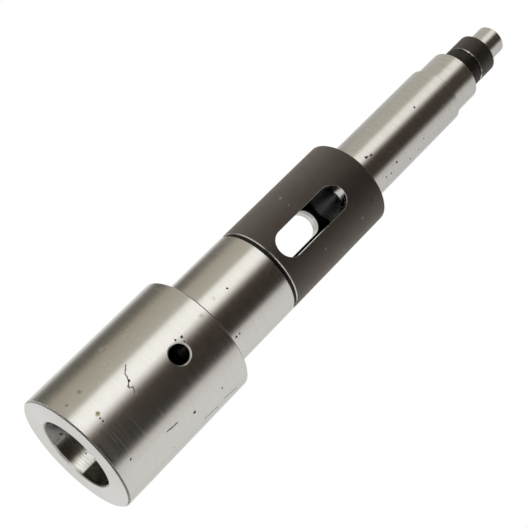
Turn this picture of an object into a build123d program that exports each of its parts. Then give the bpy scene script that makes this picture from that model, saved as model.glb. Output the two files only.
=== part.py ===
"""Drive spindle with a taper socket: one bar of steel, turned, bored, slotted, hardened and ground.

The spindle stands on its bored end, with +Z along its axis towards the tip. The tool's taper seats in
the socket, a drift pushed through the slot knocks it out, and bearings and a gear sit on the journals.
"""

from build123d import *
import math
import os

# Outside diameters, from the bored end to the tip
body_dia = 40.0
middle_dia = 30.0
long_journal_dia = 20.0
short_journal_dia = 18.0
neck_dia = 14.0
tip_dia = 10.0

# Lengths along the axis, in the same order
body_length = 50.0
bright_middle_length = 27.0
ring_groove_width = 1.2
black_middle_length = 42.8
long_journal_length = 46.0
short_journal_length = 11.0
neck_length = 5.2
clip_groove_width = 0.8
collar_length = 7.0
tip_length = 8.5

# Grooves, edge breaks and root radii
ring_groove_depth = 0.6
clip_groove_depth = 0.7
face_chamfer = 0.5
shoulder_chamfer = 0.5
groove_chamfer = 0.4
journal_chamfer = 0.3
tip_chamfer = 0.8
root_radius = 0.6

# Taper socket: mouth, slope, conical length, then the clearance bore for the tang
socket_mouth_dia = 23.825
socket_taper_ratio = 19.922
socket_taper_length = 72.0
socket_mouth_chamfer = 0.6
clearance_bore_dia = 20.2
bore_depth = 112.0
drill_point_angle = 118.0

# Drift slot, right through the wall on both sides
slot_width = 9.0
slot_length = 29.0
slot_centre_height = 95.5
slot_edge_break = 0.25

# Radial coolant hole, through the body's wall into the socket
coolant_hole_dia = 6.0
coolant_hole_height = 35.0
coolant_hole_chamfer = 0.5

# Centre hole in the tip, left from turning and grinding between centres
centre_pilot_dia = 2.0
centre_mouth_dia = 4.2
centre_angle = 60.0
centre_pilot_length = 2.6

# Heights of the steps, each from the sizes above
body_top = body_length
bright_top = body_top + bright_middle_length
black_start = bright_top + ring_groove_width
black_top = black_start + black_middle_length
long_top = black_top + long_journal_length
short_top = long_top + short_journal_length
neck_top = short_top + neck_length
collar_start = neck_top + clip_groove_width
collar_top = collar_start + collar_length
tip_top = collar_top + tip_length


def turned(diameter, start, end, near_chamfer=0.0, far_chamfer=0.0):
    """Corners of one turned diameter in the half section, from its near end to its far end."""
    radius = diameter / 2
    corners = []
    if near_chamfer:
        corners.append((radius - near_chamfer, start))
    corners.append((radius, start + near_chamfer))
    corners.append((radius, end - far_chamfer))
    if far_chamfer:
        corners.append((radius - far_chamfer, end))
    return corners


def drill_point(diameter):
    """Height of the cone that a drill leaves at the bottom of a blind hole."""
    return diameter / 2 / math.tan(math.radians(drill_point_angle / 2))


def root_circle(part, diameter, height):
    """The inside corner where a diameter meets the shoulder at this height."""
    circles = part.edges().filter_by(GeomType.CIRCLE)
    at_height = [edge for edge in circles if abs(edge.center().Z - height) < 1e-4]
    return [edge for edge in at_height if abs(edge.radius - diameter / 2) < 1e-4]


def rims_on(edges, diameter):
    """The edges that lie on the turned surface of this diameter."""
    return [
        edge
        for edge in edges
        if all(abs(math.hypot(p.X, p.Y) - diameter / 2) < 1e-3 for p in edge.positions([0, 0.3, 0.6, 1]))
    ]


with BuildPart() as spindle:
    # The turned outside: one half section, spun round the axis
    with BuildSketch(Plane.XZ):
        with BuildLine():
            Polyline(
                (0, 0),
                *turned(body_dia, 0, body_top, face_chamfer, shoulder_chamfer),
                *turned(middle_dia, body_top, bright_top, 0, journal_chamfer),
                *turned(middle_dia - 2 * ring_groove_depth, bright_top, black_start),
                *turned(middle_dia, black_start, black_top, groove_chamfer, shoulder_chamfer),
                *turned(long_journal_dia, black_top, long_top, 0, journal_chamfer),
                *turned(short_journal_dia, long_top, short_top, 0, journal_chamfer),
                *turned(neck_dia, short_top, neck_top),
                *turned(neck_dia - 2 * clip_groove_depth, neck_top, collar_start),
                *turned(neck_dia, collar_start, collar_top, groove_chamfer, groove_chamfer),
                *turned(tip_dia, collar_top, tip_top, 0, tip_chamfer),
                (0, tip_top),
                close=True,
            )
        make_face()
    revolve(axis=Axis.Z)

    # Ground root radii where the bearing seats and the tip meet their shoulders
    for root_dia, root_height in (
        (middle_dia, body_top),
        (long_journal_dia, black_top),
        (neck_dia, short_top),
        (tip_dia, collar_top),
    ):
        fillet(root_circle(spindle.part, root_dia, root_height), radius=root_radius)

    # The socket: mouth chamfer, taper, clearance bore and drill point, spun out of the bar
    taper_end_dia = socket_mouth_dia - socket_taper_length / socket_taper_ratio
    mouth_radius = socket_mouth_dia / 2
    bore_radius = clearance_bore_dia / 2
    with BuildSketch(Plane.XZ):
        with BuildLine():
            Polyline(
                (0, 0),
                (mouth_radius + socket_mouth_chamfer, 0),
                (mouth_radius - socket_mouth_chamfer / 2 / socket_taper_ratio, socket_mouth_chamfer),
                (taper_end_dia / 2, socket_taper_length),
                (bore_radius, socket_taper_length),
                (bore_radius, bore_depth),
                (0, bore_depth + drill_point(clearance_bore_dia)),
                close=True,
            )
        make_face()
    revolve(axis=Axis.Z, mode=Mode.SUBTRACT)

    # The drift slot, milled through both walls, with its outer edges broken
    with BuildSketch(Plane.XZ):
        with Locations((0, slot_centre_height)):
            SlotOverall(slot_length, slot_width, rotation=90)
    before_slot = spindle.edges()
    extrude(amount=middle_dia, both=True, mode=Mode.SUBTRACT)
    chamfer(rims_on(spindle.edges() - before_slot, middle_dia), length=slot_edge_break)

    # The coolant hole, drilled from outside as far as the axis, with its mouth chamfered
    hole_mouth = Plane(origin=(0, -body_dia / 2, coolant_hole_height), x_dir=(1, 0, 0), z_dir=(0, -1, 0))
    before_hole = spindle.edges()
    with Locations(hole_mouth):
        Hole(radius=coolant_hole_dia / 2, depth=body_dia / 2)
    chamfer(rims_on(spindle.edges() - before_hole, body_dia), length=coolant_hole_chamfer)

    # The centre hole in the tip
    with Locations(Plane(origin=(0, 0, tip_top), z_dir=(0, 0, 1))):
        CounterSinkHole(
            radius=centre_pilot_dia / 2,
            counter_sink_radius=centre_mouth_dia / 2,
            depth=centre_pilot_length,
            counter_sink_angle=centre_angle,
        )

spindle.part.label = "spindle"

os.makedirs("parts", exist_ok=True)
export_step(spindle.part, "parts/spindle.step")
print("length", round(tip_top, 3), "volume", round(spindle.part.volume, 1))
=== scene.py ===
"""Drive spindle with a taper socket: the looks of its bright ground steel and its blackened sections."""

import math

import bpy
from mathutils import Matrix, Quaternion, Vector

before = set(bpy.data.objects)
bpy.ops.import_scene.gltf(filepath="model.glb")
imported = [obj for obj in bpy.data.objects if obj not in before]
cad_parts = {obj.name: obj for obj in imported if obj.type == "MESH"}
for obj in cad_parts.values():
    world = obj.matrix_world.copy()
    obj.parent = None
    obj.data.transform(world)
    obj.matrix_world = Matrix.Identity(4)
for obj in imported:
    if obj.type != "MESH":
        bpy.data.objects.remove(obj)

scene = bpy.context.scene
scene.view_settings.view_transform = "Standard"
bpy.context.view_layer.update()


# --- Camera ---------------------------------------------------------------------------------------
# It looks up at the bored end from below and in front, through a long lens, and is rolled by an
# eighth of a turn, so that the spindle crosses the view from corner to corner.
camera_azimuth = math.radians(-1.6)
camera_reach = 0.38820
camera_height = -0.10086
camera_aim = Vector((-0.00053, 0.0, 0.08142))
camera_roll = math.radians(44.97)

camera_data = bpy.data.cameras.new("camera")
camera_data.lens = 97.92
camera_data.sensor_width = 36.0
camera_data.clip_start = 0.01
camera = bpy.data.objects.new("camera", camera_data)
scene.collection.objects.link(camera)
camera.location = (
    camera_reach * math.sin(camera_azimuth),
    -camera_reach * math.cos(camera_azimuth),
    camera_height,
)
sight = camera_aim - camera.location
camera.rotation_mode = "QUATERNION"
camera.rotation_quaternion = sight.to_track_quat("-Z", "Y") @ Quaternion((0, 0, 1), camera_roll)
scene.camera = camera


# --- Studio ---------------------------------------------------------------------------------------
# A white room. Steel sees in it a bright panel left of the camera, the dark front of the room and
# pale walls at the right and behind. A straight look at the room is plain white.

# Each stop is a turn from the front, in degrees, and the tone of the wall there. The low wall goes up
# to about 28 degrees of rise, and the high wall goes on to the ceiling.
room_tones_low = (
    (-180, (0.92, 0.91, 0.89)),
    (-156, (0.84, 0.83, 0.80)),
    (-140, (0.30, 0.28, 0.25)),
    (-128, (0.155, 0.145, 0.125)),
    (-114, (0.165, 0.150, 0.120)),
    (-104, (0.26, 0.235, 0.19)),
    (-95, (0.44, 0.395, 0.31)),
    (-84, (0.50, 0.455, 0.36)),
    (-60, (0.565, 0.53, 0.44)),
    (-54, (0.57, 0.535, 0.450)),
    (-47, (1.32, 1.30, 1.21)),
    (-34, (1.44, 1.42, 1.35)),
    (-21, (1.42, 1.40, 1.33)),
    (-14, (0.98, 0.95, 0.89)),
    (-6, (0.27, 0.235, 0.195)),
    (2, (0.070, 0.050, 0.040)),
    (12, (0.048, 0.034, 0.024)),
    (28, (0.036, 0.029, 0.020)),
    (47, (0.034, 0.028, 0.021)),
    (54, (0.12, 0.11, 0.10)),
    (64, (0.78, 0.74, 0.70)),
    (84, (0.90, 0.88, 0.85)),
    (120, (0.86, 0.85, 0.81)),
    (150, (0.70, 0.69, 0.66)),
    (180, (0.92, 0.91, 0.89)),
)
room_tones_high = (
    (-180, (0.92, 0.91, 0.89)),
    (-150, (0.72, 0.71, 0.68)),
    (-110, (0.64, 0.62, 0.56)),
    (-70, (0.62, 0.59, 0.51)),
    (-56, (0.66, 0.63, 0.55)),
    (-48, (1.02, 0.98, 0.89)),
    (-36, (1.12, 1.07, 1.00)),
    (-22, (1.10, 1.04, 0.99)),
    (-13, (0.62, 0.57, 0.51)),
    (-4, (0.15, 0.125, 0.10)),
    (6, (0.068, 0.050, 0.040)),
    (46, (0.062, 0.048, 0.039)),
    (54, (0.19, 0.17, 0.155)),
    (66, (0.64, 0.61, 0.58)),
    (90, (0.72, 0.70, 0.68)),
    (140, (0.64, 0.63, 0.61)),
    (180, (0.92, 0.91, 0.89)),
)
# What matt surfaces see round the room
side_light = (
    (-180, (0.85, 0.85, 0.85)),
    (-135, (1.90, 1.90, 1.90)),
    (-100, (2.50, 2.50, 2.50)),
    (-72, (0.70, 0.70, 0.70)),
    (-45, (0.03, 0.03, 0.03)),
    (50, (0.02, 0.02, 0.02)),
    (80, (0.55, 0.55, 0.55)),
    (108, (1.80, 1.80, 1.80)),
    (140, (1.40, 1.40, 1.40)),
    (180, (0.85, 0.85, 0.85)),
)
white = (1.0, 1.0, 1.0, 1.0)
floor_tone = (0.88, 0.87, 0.85, 1.0)
ceiling_tone = (0.34, 0.33, 0.31, 1.0)

world = bpy.data.worlds.new("studio")
scene.world = world
world.use_nodes = True
room = world.node_tree
room.nodes.clear()

facing = room.nodes.new("ShaderNodeTexCoord")
facing_parts = room.nodes.new("ShaderNodeSeparateXYZ")
room.links.new(facing.outputs["Generated"], facing_parts.inputs[0])
toward_front = room.nodes.new("ShaderNodeMath")
toward_front.operation = "MULTIPLY"
toward_front.inputs[1].default_value = -1.0
room.links.new(facing_parts.outputs["Y"], toward_front.inputs[0])
turn_in_room = room.nodes.new("ShaderNodeMath")
turn_in_room.operation = "ARCTAN2"
room.links.new(facing_parts.outputs["X"], turn_in_room.inputs[0])
room.links.new(toward_front.outputs[0], turn_in_room.inputs[1])
turn_share = room.nodes.new("ShaderNodeMapRange")
turn_share.inputs["From Min"].default_value = -math.pi
turn_share.inputs["From Max"].default_value = math.pi
room.links.new(turn_in_room.outputs[0], turn_share.inputs["Value"])


def room_wall(tones):
    """The tones of the wall at each turn from the front, in degrees."""
    wall = room.nodes.new("ShaderNodeValToRGB")
    while len(wall.color_ramp.elements) < len(tones):
        wall.color_ramp.elements.new(0.5)
    for stop, (degrees, tone) in zip(wall.color_ramp.elements, tones):
        stop.position = degrees / 360 + 0.5
        stop.color = (*tone, 1.0)
    room.links.new(turn_share.outputs[0], wall.inputs["Fac"])
    return wall.outputs["Color"]


def room_rise(low, high, level):
    """0 below the low and 1 above the high angle of rise, in degrees."""
    climb = room.nodes.new("ShaderNodeMapRange")
    climb.interpolation_type = "SMOOTHSTEP"
    climb.inputs["From Min"].default_value = math.sin(math.radians(low))
    climb.inputs["From Max"].default_value = math.sin(math.radians(high))
    room.links.new(level, climb.inputs["Value"])
    return climb.outputs[0]


def room_blend(share, under, over):
    """One tone over another."""
    blend = room.nodes.new("ShaderNodeMix")
    blend.data_type = "RGBA"
    room.links.new(share, blend.inputs["Factor"])
    for socket, tone in (("A", under), ("B", over)):
        if isinstance(tone, tuple):
            blend.inputs[socket].default_value = tone
        else:
            room.links.new(tone, blend.inputs[socket])
    return blend.outputs["Result"]


walls = room_blend(
    room_rise(25, 31, facing_parts.outputs["Z"]), room_wall(room_tones_low), room_wall(room_tones_high)
)
walls = room_blend(room_rise(48, 66, facing_parts.outputs["Z"]), walls, ceiling_tone)
walls = room_blend(room_rise(-64, -82, facing_parts.outputs["Z"]), walls, floor_tone)

# Matt surfaces are lit softly from both sides, and steel sees the walls themselves
path = room.nodes.new("ShaderNodeLightPath")
walls = room_blend(path.outputs["Is Glossy Ray"], room_wall(side_light), walls)
world.cycles.sampling_method = "NONE"
straight = room.nodes.new("ShaderNodeMath")
straight.operation = "MAXIMUM"
room.links.new(path.outputs["Is Camera Ray"], straight.inputs[0])
room.links.new(path.outputs["Is Transmission Ray"], straight.inputs[1])
light = room.nodes.new("ShaderNodeBackground")
light.inputs["Strength"].default_value = 1.0
room.links.new(room_blend(straight.outputs[0], walls, white), light.inputs["Color"])
room_output = room.nodes.new("ShaderNodeOutputWorld")
room.links.new(light.outputs[0], room_output.inputs["Surface"])


# --- Floor ----------------------------------------------------------------------------------------
# A round pale sheet that fades out into the white room. It is open under the foot of the spindle and
# has a top side only, so that the bored end is lit and seen from below as well.
floor_opening = 0.01955
floor_reach = 0.200
fade_from = 0.06
fade_to = 0.19
paper_tone = (0.86, 0.86, 0.85, 1.0)

bpy.ops.object.select_all(action="DESELECT")
bpy.ops.mesh.primitive_circle_add(vertices=128, radius=floor_reach, fill_type="NOTHING")
floor = bpy.context.object
floor.name = "floor"
bpy.ops.object.mode_set(mode="EDIT")
bpy.ops.mesh.extrude_region_move()
bpy.ops.transform.resize(value=(floor_opening / floor_reach,) * 3, center_override=(0, 0, 0))
bpy.ops.mesh.select_all(action="SELECT")
bpy.ops.mesh.normals_make_consistent(inside=False)
bpy.ops.object.mode_set(mode="OBJECT")
if floor.data.polygons[0].normal.z < 0:
    floor.data.flip_normals()
paper = bpy.data.materials.new("pale_floor")
paper.use_nodes = True
sheet = paper.node_tree
sheet.nodes.clear()
sheet_place = sheet.nodes.new("ShaderNodeTexCoord")
sheet_out = sheet.nodes.new("ShaderNodeVectorMath")
sheet_out.operation = "LENGTH"
sheet.links.new(sheet_place.outputs["Object"], sheet_out.inputs[0])
fading = sheet.nodes.new("ShaderNodeMapRange")
fading.interpolation_type = "SMOOTHSTEP"
fading.inputs["From Min"].default_value = fade_from
fading.inputs["From Max"].default_value = fade_to
sheet.links.new(sheet_out.outputs["Value"], fading.inputs["Value"])
sheet_side = sheet.nodes.new("ShaderNodeNewGeometry")
unseen = sheet.nodes.new("ShaderNodeMath")
unseen.operation = "MAXIMUM"
sheet.links.new(fading.outputs[0], unseen.inputs[0])
sheet.links.new(sheet_side.outputs["Backfacing"], unseen.inputs[1])
matt = sheet.nodes.new("ShaderNodeBsdfDiffuse")
matt.inputs["Color"].default_value = paper_tone
clear = sheet.nodes.new("ShaderNodeBsdfTransparent")
sheet_mix = sheet.nodes.new("ShaderNodeMixShader")
sheet.links.new(unseen.outputs[0], sheet_mix.inputs["Fac"])
sheet.links.new(matt.outputs[0], sheet_mix.inputs[1])
sheet.links.new(clear.outputs[0], sheet_mix.inputs[2])
sheet_output = sheet.nodes.new("ShaderNodeOutputMaterial")
sheet.links.new(sheet_mix.outputs[0], sheet_output.inputs["Surface"])
floor.data.materials.append(paper)


# --- Spindle --------------------------------------------------------------------------------------
# One bar of alloy steel, turned, bored and ground bright on its running sizes. The slotted section
# and the neck and collar before the tip are left black from hardening and oiling.

# Heights up the axis and distances out from it, in millimetres
body_radius = 20.0
middle_radius = 15.0
long_radius = 10.0
neck_radius = 7.0
socket_radius = 12.0
bore_radius = 10.1
body_to = 50.0
ring_groove_from = 77.0
ring_groove_to = 78.2
blackened_to = 121.0
long_to = 167.0
neck_from = 178.0
clip_groove_from = 183.2
clip_groove_to = 184.0
collar_to = 191.0
beyond_bore = 119.5
slot_middle = 95.5
slot_half_straight = 10.0
slot_reach = 4.58
hole_height = 35.0
hole_reach = 3.52

bright_steel = (0.65, 0.645, 0.63, 1.0)
ground_line = (0.40, 0.38, 0.35, 1.0)
speck_tone = (0.25, 0.22, 0.18, 1.0)
corner_shade_tone = (0.12, 0.10, 0.08, 1.0)
dull_socket = (0.16, 0.155, 0.14, 1.0)
socket_band_tone = (0.022, 0.021, 0.018, 1.0)
bore_shade_tone = (0.035, 0.036, 0.040, 1.0)
oxide_brown = (0.115, 0.092, 0.074, 1.0)
oxide_pale = (0.165, 0.137, 0.113, 1.0)
oxide_on_collar = (0.045, 0.037, 0.030, 1.0)
oxide_on_neck = (0.030, 0.024, 0.019, 1.0)
oxide_in_groove = (0.020, 0.016, 0.013, 1.0)
rubbed_tone = (0.62, 0.60, 0.50, 1.0)
rust_tone = (0.16, 0.085, 0.045, 1.0)
stain_tone = (0.42, 0.38, 0.12, 1.0)
torn_steel = (0.16, 0.14, 0.12, 1.0)
pit_tone = (0.012, 0.010, 0.009, 1.0)

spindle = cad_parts["spindle"]
steel = bpy.data.materials.new("ground_steel")
steel.use_nodes = True
look = steel.node_tree
shader = look.nodes["Principled BSDF"]


def wire(value, socket):
    """Lead a value or another node's output into a socket."""
    if isinstance(value, bpy.types.NodeSocket):
        look.links.new(value, socket)
    else:
        socket.default_value = value


def reckon(operation, first, second=0.0):
    """A sum of one or two values, worked out at each point of the surface."""
    node = look.nodes.new("ShaderNodeMath")
    node.operation = operation
    for value, socket in zip((first, second), node.inputs):
        wire(value, socket)
    return node.outputs[0]


def between_points(operation, first, second):
    """A sum of two points or directions."""
    node = look.nodes.new("ShaderNodeVectorMath")
    node.operation = operation
    wire(first, node.inputs[0])
    wire(second, node.inputs[1])
    return node.outputs["Value" if operation in ("DISTANCE", "DOT_PRODUCT") else "Vector"]


def scaled(point, factor):
    """A point or direction made longer or shorter."""
    node = look.nodes.new("ShaderNodeVectorMath")
    node.operation = "SCALE"
    wire(point, node.inputs[0])
    wire(factor, node.inputs["Scale"])
    return node.outputs["Vector"]


def rise(value, low, high, bottom=0.0, top=1.0):
    """A soft step from bottom to top while the value goes from low to high."""
    node = look.nodes.new("ShaderNodeMapRange")
    node.interpolation_type = "SMOOTHSTEP"
    wire(value, node.inputs["Value"])
    node.inputs["From Min"].default_value = low
    node.inputs["From Max"].default_value = high
    node.inputs["To Min"].default_value = bottom
    node.inputs["To Max"].default_value = top
    return node.outputs[0]


def both(first, second):
    """Where one mask and the other are, or a mask made weaker by a share."""
    return reckon("MULTIPLY", first, second)


def either(first, second):
    """Where one mask or the other is."""
    return reckon("MAXIMUM", first, second)


def without(mask):
    """Where the mask isn't."""
    return reckon("SUBTRACT", 1.0, mask)


def stretch(value, low, high, soft, full=1.0):
    """Full from low to high, with soft ends, and 0 beyond them."""
    start = rise(value, low - soft, low + soft, 0.0, full)
    return both(start, rise(value, high - soft, high + soft, 1.0, 0.0))


def span(first, second):
    """The straight distance over two distances at a right angle."""
    squares = reckon("ADD", reckon("MULTIPLY", first, first), reckon("MULTIPLY", second, second))
    return reckon("SQRT", squares)


def laid_over(kind, share, under, over):
    """A share of one tone or value over another."""
    node = look.nodes.new("ShaderNodeMix")
    node.data_type = kind
    wire(share, node.inputs["Factor"])
    wire(under, node.inputs["A"])
    wire(over, node.inputs["B"])
    return node.outputs["Result"]


def tint(share, under, over):
    """A share of one tone over another."""
    return laid_over("RGBA", share, under, over)


def level(share, under, over):
    """A share of one value over another."""
    return laid_over("FLOAT", share, under, over)


# The place on the spindle, in millimetres: across and depth are x and y, height goes up the axis,
# and out is the distance from it
place = scaled(look.nodes.new("ShaderNodeTexCoord").outputs["Object"], 1000.0)
parts = look.nodes.new("ShaderNodeSeparateXYZ")
look.links.new(place, parts.inputs[0])
across, depth, height = parts.outputs
out = span(across, depth)


def grain(around, along, detail=2.0, rough=0.5):
    """Noise drawn out round the spindle: so many grains to a millimetre round it and along it."""
    node = look.nodes.new("ShaderNodeTexNoise")
    wire(between_points("MULTIPLY", place, (around, around, along)), node.inputs["Vector"])
    node.inputs["Scale"].default_value = 1.0
    node.inputs["Detail"].default_value = detail
    node.inputs["Roughness"].default_value = rough
    return node.outputs["Fac"]


# Where the bore, the slot and the hole are. Each mask reaches just past the edge of its opening.
in_bore = rise(out, socket_radius + 1.0, socket_radius + 0.7)
in_bore = both(in_bore, rise(height, beyond_bore + 0.1, beyond_bore - 0.1))
up_slot = reckon("ABSOLUTE", reckon("SUBTRACT", height, slot_middle))
from_slot = span(across, reckon("MAXIMUM", reckon("SUBTRACT", up_slot, slot_half_straight), 0.0))
in_slot = rise(from_slot, slot_reach, slot_reach - 0.05)
from_hole = span(across, reckon("SUBTRACT", height, hole_height))
in_hole = both(rise(from_hole, hole_reach, hole_reach - 0.05), rise(depth, 0.0, -1.0))
outside = both(without(in_bore), without(either(in_slot, in_hole)))

# Handling marks are given by their turn from the front in degrees, their height and their size. The
# place is shifted by a little noise, so that no mark is perfectly round or straight.
wander = look.nodes.new("ShaderNodeTexNoise")
look.links.new(place, wander.inputs["Vector"])
wander.inputs["Scale"].default_value = 1.7
wander.inputs["Detail"].default_value = 3.0
wander_width = 0.9
shift = between_points("SUBTRACT", wander.outputs["Color"], (0.5, 0.5, 0.5))
ragged_place = between_points("ADD", place, scaled(shift, wander_width))


def on_surface(turn, up, radius):
    """The point at a turn from the front and a height, on a section of the spindle."""
    turn = math.radians(turn)
    return Vector((radius * math.sin(turn), -radius * math.cos(turn), up))


def spots(radius, marks, soft=0.5):
    """1 inside each mark given as turn, height and size."""
    nearest = 9.0
    for turn, up, size in marks:
        gap = between_points("DISTANCE", ragged_place, on_surface(turn, up, radius))
        nearest = reckon("MINIMUM", reckon("DIVIDE", gap, size), nearest)
    return rise(nearest, 1.0 - soft, 1.0, 1.0, 0.0)


def scratch(radius, points, width):
    """1 along a line through points given as turn and height."""
    nearest = 9.0
    for start, end in zip(points, points[1:]):
        start = on_surface(*start, radius)
        run = on_surface(*end, radius) - start
        offset = between_points("SUBTRACT", ragged_place, start)
        along = between_points("DOT_PRODUCT", offset, run / run.length_squared)
        held = reckon("MINIMUM", reckon("MAXIMUM", along, 0.0), 1.0)
        gap = between_points("DISTANCE", offset, scaled(run, held))
        nearest = reckon("MINIMUM", gap, nearest)
    return rise(nearest, width * 0.3, width, 1.0, 0.0)


pits_on_body = spots(body_radius, (
    (-8, 39, 0.45), (-10, 37, 0.35), (-4, 38.5, 0.40), (46, 28.5, 0.55), (50, 39.5, 0.45),
    (60, 18.5, 0.30), (32, 5.5, 0.30), (-8, 6.5, 0.35), (-5, 6.5, 0.40), (-13, 19.5, 0.45),
))
pits_on_middle = spots(middle_radius, (
    (33, 55, 0.40), (33, 53.5, 0.40), (-13, 61, 0.35), (34, 116, 0.35),
))
pits_on_long_journal = spots(long_radius, (
    (-10, 126.5, 0.45), (-9, 127, 0.40), (-6, 128.5, 0.50), (-7, 128, 0.30), (37, 134.5, 0.45),
    (47, 131, 0.40), (45, 128.5, 0.35), (58, 140.5, 0.45), (56, 145, 0.30), (44, 148, 0.30),
    (-12, 152, 0.35), (21, 160.5, 0.25),
))
nicks_in_socket = spots(socket_radius, (
    (-145, 4, 0.40), (-151, 5, 0.40), (-143, 3.5, 0.35), (-147, 2, 0.25), (170, 5.5, 0.35), (156, 6, 0.40),
))
pits = either(either(pits_on_body, pits_on_middle), either(pits_on_long_journal, nicks_in_socket))
crack = scratch(body_radius, ((-24, 22.5), (-20, 20.5), (-13, 19.5), (-10, 18), (-7, 19), (-2, 18)), 0.24)
scrapes = either(
    scratch(body_radius, ((40, 22.5), (39, 18.5)), 0.3),
    either(
        scratch(body_radius, ((68, 44.5), (64, 39.5)), 0.3),
        scratch(body_radius, ((67, 36.5), (64, 31)), 0.3),
    ),
)
rubs = either(
    spots(body_radius, (
        (-44, 29.5, 1.1), (-36, 30, 0.9), (-32, 30.5, 0.7), (-53, 22.5, 1.1), (-50, 24, 0.9),
        (-34, 22.5, 0.7), (-39, 19, 1.2), (-32, 18.5, 1.0), (-29, 14, 0.6), (-9, 47.5, 1.0),
    ), 0.8),
    spots(middle_radius, (
        (-48, 95.5, 0.7), (-32, 94.5, 0.5), (44, 110.5, 0.6), (63, 100.5, 0.45), (36, 93.5, 0.5),
        (-16, 56, 0.8),
    ), 0.8),
)
stain = spots(body_radius, ((-12, 7, 0.95),), 0.7)
rust = either(
    spots(body_radius, ((-36, 8.5, 1.0), (-35, 3.5, 0.7)), 0.8),
    spots(middle_radius, ((-24, 86.5, 2.0),), 0.9),
)
wounds = either(pits, either(crack, scrapes))

mottle = grain(0.25, 0.25, 4.0, 0.6)
rings = grain(0.05, 2.0, 3.0, 0.6)
journal_grain = grain(0.12, 2.6, 2.0, 0.7)
fine_rings = grain(0.35, 6.0, 2.0, 0.6)
peel = grain(1.1, 1.6, 2.0, 0.6)
chipping = grain(0.12, 0.12, 3.0, 0.7)
socket_wear = grain(0.25, 0.9, 3.0, 0.65)
specks = both(rise(grain(1.6, 1.6, 1.0), 0.66, 0.72), rise(mottle, 0.45, 0.6))

# The near corners of the black section and of the collar are worn bright, and the grooves stay dark
worn = either(
    both(
        stretch(height, ring_groove_to, ring_groove_to + 0.28, 0.02),
        rise(out, middle_radius - 0.5, middle_radius - 0.4),
    ),
    both(
        stretch(height, clip_groove_to, clip_groove_to + 0.3, 0.02),
        rise(out, neck_radius - 0.55, neck_radius - 0.5),
    ),
)
worn = both(worn, rise(chipping, 0.40, 0.55, 0.15, 1.0))
black = either(
    stretch(height, ring_groove_from, blackened_to + 0.1, 0.04),
    stretch(height, neck_from, collar_to + 0.1, 0.04),
)
black = both(both(black, outside), without(worn))
groove = either(
    both(
        stretch(height, ring_groove_from + 0.02, ring_groove_to, 0.02),
        rise(out, middle_radius - 0.15, middle_radius - 0.2),
    ),
    both(
        stretch(height, clip_groove_from, clip_groove_to, 0.02),
        rise(out, neck_radius - 0.15, neck_radius - 0.2),
    ),
)
groove = both(groove, outside)

# Painted shade darkens the deep bores and the hole, and the corners at the shoulders and at the step
drilled = both(rise(out, bore_radius + 0.4, bore_radius + 0.2), stretch(height, 66.0, beyond_bore, 0.05))
far_in_socket = both(both(in_bore, rise(height, 8.0, 30.0)), without(rise(height, 73.0, 73.2)))
deep_shade = either(either(drilled, far_in_socket), both(in_hole, rise(from_hole, 3.1, 3.02)))
shoulder_corner = either(
    rise(out, body_radius - 0.7, body_radius - 0.5),
    rise(out, middle_radius + 0.9, middle_radius + 0.5),
)
corner_shade = either(
    both(stretch(height, body_to - 0.42, body_to + 0.8, 0.06), shoulder_corner),
    both(stretch(height, long_to - 0.28, long_to + 0.4, 0.04), 0.8),
)

# The back wall of the socket is painted darker in bands at fixed places across it: partly at the left,
# lightly in the middle and fully at the right, with a bare stretch between the last two
left_band_edge = -5.8
middle_band_edge = 0.5
right_band_edge = 5.2
socket_wall = both(in_bore, rise(out, socket_radius + 0.3, socket_radius + 0.15))
left_band = rise(across, left_band_edge + 0.3, left_band_edge - 0.4, 0.0, 0.62)
middle_band = stretch(across, left_band_edge, middle_band_edge, 0.25, 0.30)
socket_bands = either(rise(across, right_band_edge, right_band_edge + 0.3), either(left_band, middle_band))
socket_bands = both(both(socket_wall, rise(depth, 0.0, 1.0)), socket_bands)

oxide = tint(mottle, oxide_brown, oxide_pale)
oxide = tint(both(stretch(height, neck_from, collar_to, 0.05), 0.45), oxide, oxide_on_collar)
oxide = tint(both(stretch(height, neck_from, clip_groove_to, 0.05), 0.7), oxide, oxide_on_neck)
oxide = tint(groove, oxide, oxide_in_groove)
line_share = rise(height, blackened_to - 1.0, blackened_to, 0.05, 0.17)
line_share = both(rise(journal_grain, 0.42, 0.62), line_share)
# Painted shade: a dark line in the corners at the shoulders and at the step to the long journal
steel_tone = tint(both(corner_shade, 0.8), bright_steel, corner_shade_tone)
steel_tone = tint(line_share, steel_tone, ground_line)
steel_tone = tint(both(socket_wall, rise(socket_wear, 0.35, 0.65, 0.0, 0.25)), steel_tone, dull_socket)
# Dark bands painted on the back wall of the socket
steel_tone = tint(both(socket_bands, rise(socket_wear, 0.30, 0.70, 1.0, 0.90)), steel_tone, socket_band_tone)
# Painted shade deep in the bores and in the hole
steel_tone = tint(both(deep_shade, 0.93), steel_tone, bore_shade_tone)
steel_tone = tint(both(specks, 0.06), steel_tone, speck_tone)
base = tint(black, steel_tone, oxide)
base = tint(both(rubs, 0.45), base, rubbed_tone)
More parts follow.
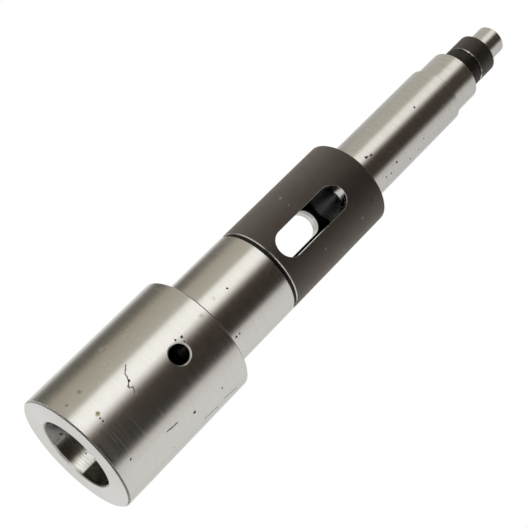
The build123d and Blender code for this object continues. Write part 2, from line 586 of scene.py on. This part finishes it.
base = tint(both(rust, 0.55), base, rust_tone)
base = tint(both(stain, 0.75), base, stain_tone)
base = tint(both(scrapes, 0.75), base, torn_steel)
base = tint(both(crack, 0.7), base, torn_steel)
base = tint(pits, base, pit_tone)
wire(base, shader.inputs["Base Color"])
wire(both(without(black), without(both(either(wounds, stain), 0.9))), shader.inputs["Metallic"])

steel_rough = reckon("ADD", 0.235, both(reckon("SUBTRACT", rings, 0.5), 0.18))
steel_rough = reckon("ADD", steel_rough, both(rubs, 0.2))
steel_rough = level(in_bore, steel_rough, 0.22)
wire(level(either(black, wounds), steel_rough, 0.5), shader.inputs["Roughness"])
shader.inputs["Specular IOR Level"].default_value = 0.2

# The fine grinding lines draw the shine out along the axis
shader.inputs["Anisotropic"].default_value = 0.7
shader.inputs["Anisotropic Rotation"].default_value = 0.25
tangent = look.nodes.new("ShaderNodeTangent")
tangent.direction_type = "RADIAL"
tangent.axis = "Z"
look.links.new(tangent.outputs[0], shader.inputs["Tangent"])

# Relief, in millimetres: grinding lines, turned ridges in the socket, and the marks
ridge_pitch = 0.9
ridge_slope = 0.30
ridged_from = 0.62
ridged_to = 24.0
ridge = both(reckon("FRACT", reckon("DIVIDE", height, ridge_pitch)), ridge_pitch * ridge_slope)
ridge = both(ridge, both(in_bore, stretch(height, ridged_from, ridged_to, 0.02)))
lines = reckon("ADD", both(rings, 0.0012), both(fine_rings, 0.0002))
lines = both(lines, rise(height, blackened_to - 1.0, blackened_to, 1.0, 1.3))
relief = reckon("ADD", lines, ridge)
relief = reckon("ADD", relief, both(both(peel, without(black)), 0.003))
relief = reckon("SUBTRACT", relief, both(wounds, 0.08))
relief = reckon("ADD", relief, both(both(mottle, black), 0.02))
lay = look.nodes.new("ShaderNodeBump")
lay.inputs["Distance"].default_value = 0.001
lay.inputs["Strength"].default_value = 1.0
wire(relief, lay.inputs["Height"])
look.links.new(lay.outputs[0], shader.inputs["Normal"])

spindle.data.materials.clear()
spindle.data.materials.append(steel)
